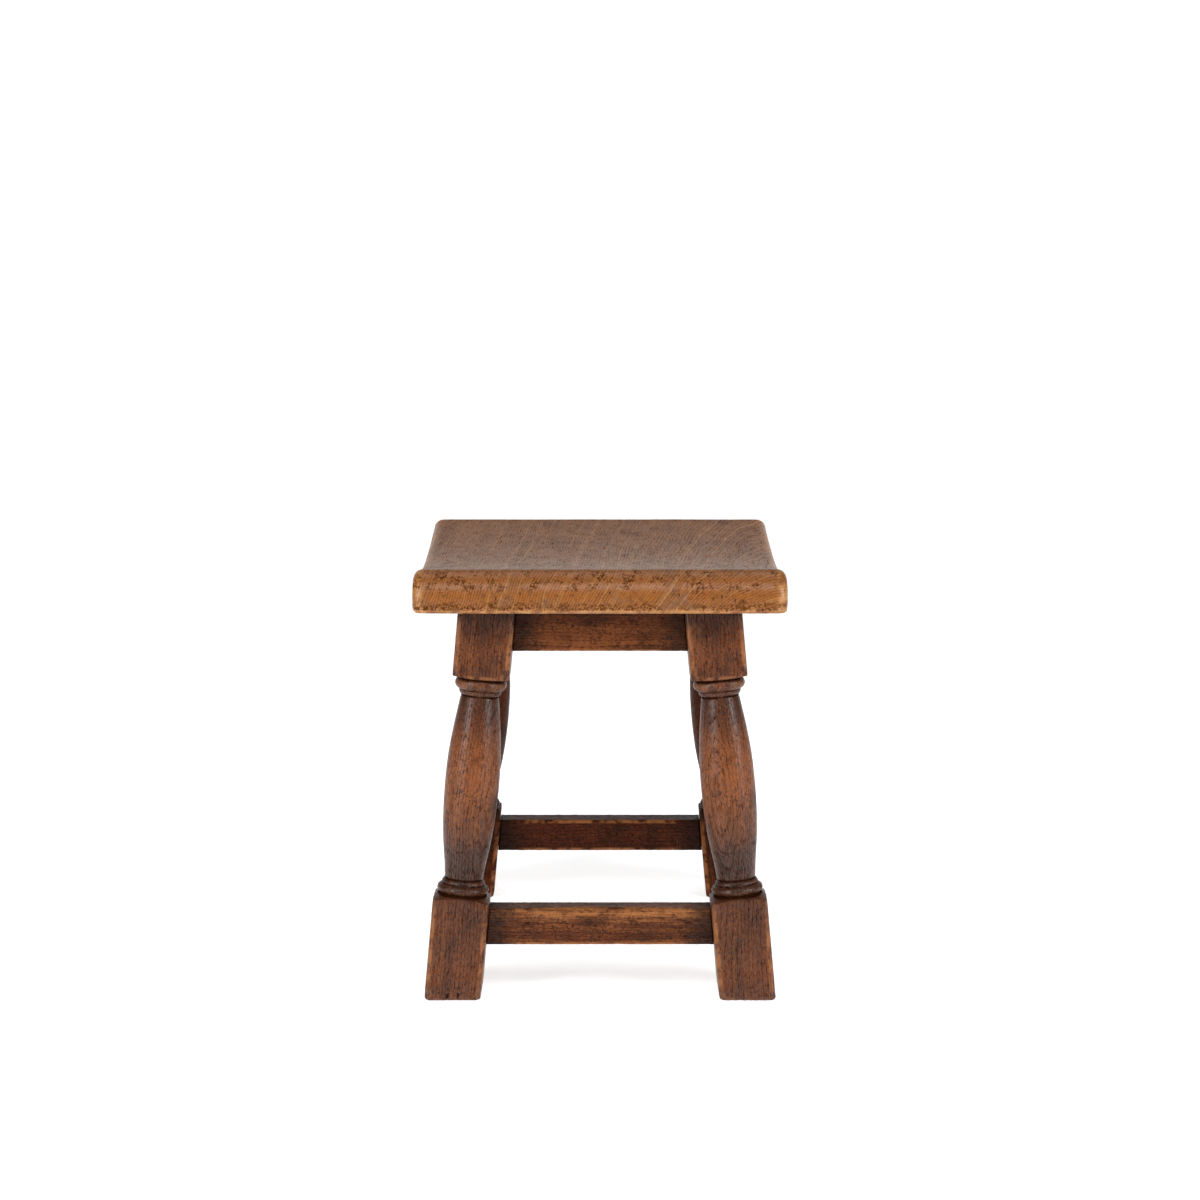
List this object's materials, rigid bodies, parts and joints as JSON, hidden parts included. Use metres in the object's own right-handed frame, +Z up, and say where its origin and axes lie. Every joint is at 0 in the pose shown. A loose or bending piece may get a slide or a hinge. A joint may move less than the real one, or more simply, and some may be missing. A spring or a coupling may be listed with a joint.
{
  "type": "stool",
  "caption": "Joined oak stool with a dished seat raised at front and rear, turned and splayed legs, aprons under the seat and a box of stretchers near the floor.",
  "frame": {"origin": "on the floor, at the middle of the stool", "axes": "+Z up, +X across the stool to the right as seen from the front, -Y towards the front, where the higher lip of the seat is"},
  "size_m": [0.373, 0.4, 0.4435],
  "materials": {
    "seat_oak": "stained and waxed oak, worn",
    "frame_oak": "dark stained and waxed oak",
    "plain_oak": "bare aged oak",
    "screw_steel": "dull dark steel"
  },
  "bodies": {
    "root": {"seat": "seat_oak", "front_left_leg": "frame_oak", "front_right_leg": "frame_oak", "rear_left_leg": "frame_oak", "rear_right_leg": "frame_oak", "front_apron": "frame_oak", "right_apron": "frame_oak", "rear_apron": "frame_oak", "left_apron": "frame_oak", "front_stretcher": "frame_oak", "right_stretcher": "frame_oak", "rear_stretcher": "frame_oak", "left_stretcher": "frame_oak", "front_glue_block": "plain_oak", "right_glue_block": "plain_oak", "rear_glue_block": "plain_oak", "left_glue_block": "plain_oak", "seat_screws": "screw_steel"}
  },
  "joints": []
}
